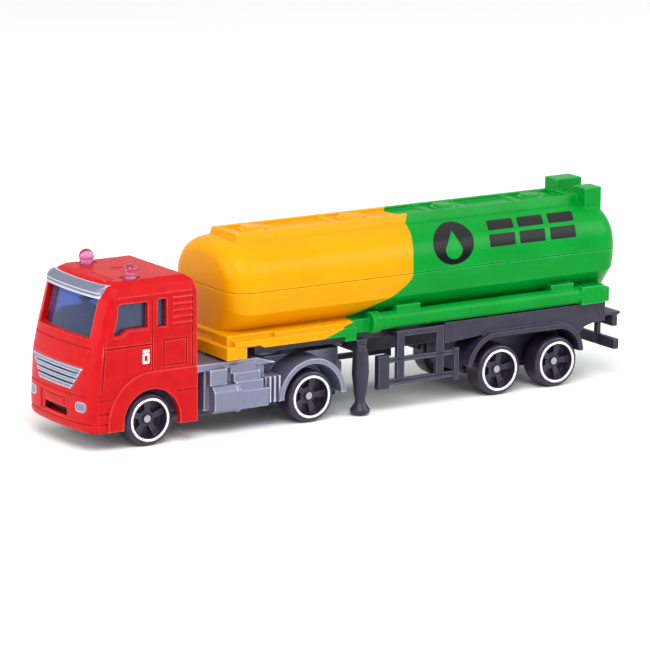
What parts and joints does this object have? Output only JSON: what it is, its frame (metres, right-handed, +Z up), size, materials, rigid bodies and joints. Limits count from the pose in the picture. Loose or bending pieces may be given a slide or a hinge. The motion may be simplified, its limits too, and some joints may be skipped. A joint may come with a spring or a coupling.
{
  "type": "toy tanker truck",
  "caption": "Toy articulated tanker: die-cast cab on a moulded tractor, a domed split tank on a trailer that swings and lifts off its kingpin, and free-rolling wheels on wire axles.",
  "frame": {"origin": "on the ground, below the middle of the whole truck's length and width", "axes": "+X forward, +Y to the truck's left, +Z up"},
  "size_m": [0.1402, 0.0294, 0.0445],
  "materials": {
    "cab_paint": "gloss enamel on a zinc die-casting",
    "clear_blue_plastic": "clear blue-tinted styrene",
    "silver_plastic": "silver-grey moulded plastic",
    "tank_plastic": "glossy moulded plastic, painted yellow in front of a curved line and green behind it",
    "black_plastic": "satin blue-black moulded plastic",
    "wheel_plastic": "glossy black wheel with a silver foiled rim edge",
    "rim_foil": "hot-stamped silver foil",
    "steel": "bright drawn wire"
  },
  "bodies": {
    "tractor": {"cab_shell": "cab_paint", "cab_glazing": "clear_blue_plastic", "cab_interior": "black_plastic", "sun_visor": "silver_plastic", "radiator_grille": "silver_plastic", "headlamps": "silver_plastic", "tractor_chassis": "silver_plastic", "tractor_base_plate": "black_plastic", "tractor_rivets": "steel", "front_axle": "steel", "drive_axle": "steel"},
    "kingpin": {"kingpin": "steel"},
    "trailer": {"tank_top_shell": "tank_plastic", "tank_bottom_shell": "tank_plastic", "trailer_frame": "black_plastic", "landing_legs": "black_plastic", "left_side_guard": "black_plastic", "right_side_guard": "black_plastic", "axle_retainer": "black_plastic", "trailer_screws": "steel", "fore_trailer_axle": "steel", "aft_trailer_axle": "steel"},
    "front_left_wheel": {"front_left_wheel": "wheel_plastic"},
    "front_right_wheel": {"front_right_wheel": "wheel_plastic"},
    "drive_left_wheel": {"drive_left_wheel": "wheel_plastic"},
    "drive_right_wheel": {"drive_right_wheel": "wheel_plastic"},
    "fore_left_wheel": {"fore_left_wheel": "wheel_plastic"},
    "fore_right_wheel": {"fore_right_wheel": "wheel_plastic"},
    "aft_left_wheel": {"aft_left_wheel": "wheel_plastic"},
    "aft_right_wheel": {"aft_right_wheel": "wheel_plastic"}
  },
  "joints": [
    {"name": "trailer_lift", "type": "slide", "parent": "tractor", "child": "kingpin", "axis": [0, 0, 1], "range_m": [0, 0.006]},
    {"name": "trailer_swing", "type": "hinge", "parent": "kingpin", "child": "trailer", "pos_m": [0.0205, 0, 0.0171], "axis": [0, 0, 1], "range_deg": [-90, 90]},
    {"name": "front_left_wheel_spin", "type": "hinge", "parent": "tractor", "child": "front_left_wheel", "pos_m": [0.0543, 0.0106, 0.00575], "axis": [0, 1, 0], "continuous": true},
    {"name": "front_right_wheel_spin", "type": "hinge", "parent": "tractor", "child": "front_right_wheel", "pos_m": [0.0543, -0.0106, 0.00575], "axis": [0, 1, 0], "continuous": true},
    {"name": "drive_left_wheel_spin", "type": "hinge", "parent": "tractor", "child": "drive_left_wheel", "pos_m": [0.0135, 0.0106, 0.00575], "axis": [0, 1, 0], "continuous": true},
    {"name": "drive_right_wheel_spin", "type": "hinge", "parent": "tractor", "child": "drive_right_wheel", "pos_m": [0.0135, -0.0106, 0.00575], "axis": [0, 1, 0], "continuous": true},
    {"name": "fore_left_wheel_spin", "type": "hinge", "parent": "trailer", "child": "fore_left_wheel", "pos_m": [-0.0365, 0.0106, 0.00575], "axis": [0, 1, 0], "continuous": true},
    {"name": "fore_right_wheel_spin", "type": "hinge", "parent": "trailer", "child": "fore_right_wheel", "pos_m": [-0.0365, -0.0106, 0.00575], "axis": [0, 1, 0], "continuous": true},
    {"name": "aft_left_wheel_spin", "type": "hinge", "parent": "trailer", "child": "aft_left_wheel", "pos_m": [-0.0523, 0.0106, 0.00575], "axis": [0, 1, 0], "continuous": true},
    {"name": "aft_right_wheel_spin", "type": "hinge", "parent": "trailer", "child": "aft_right_wheel", "pos_m": [-0.0523, -0.0106, 0.00575], "axis": [0, 1, 0], "continuous": true}
  ]
}
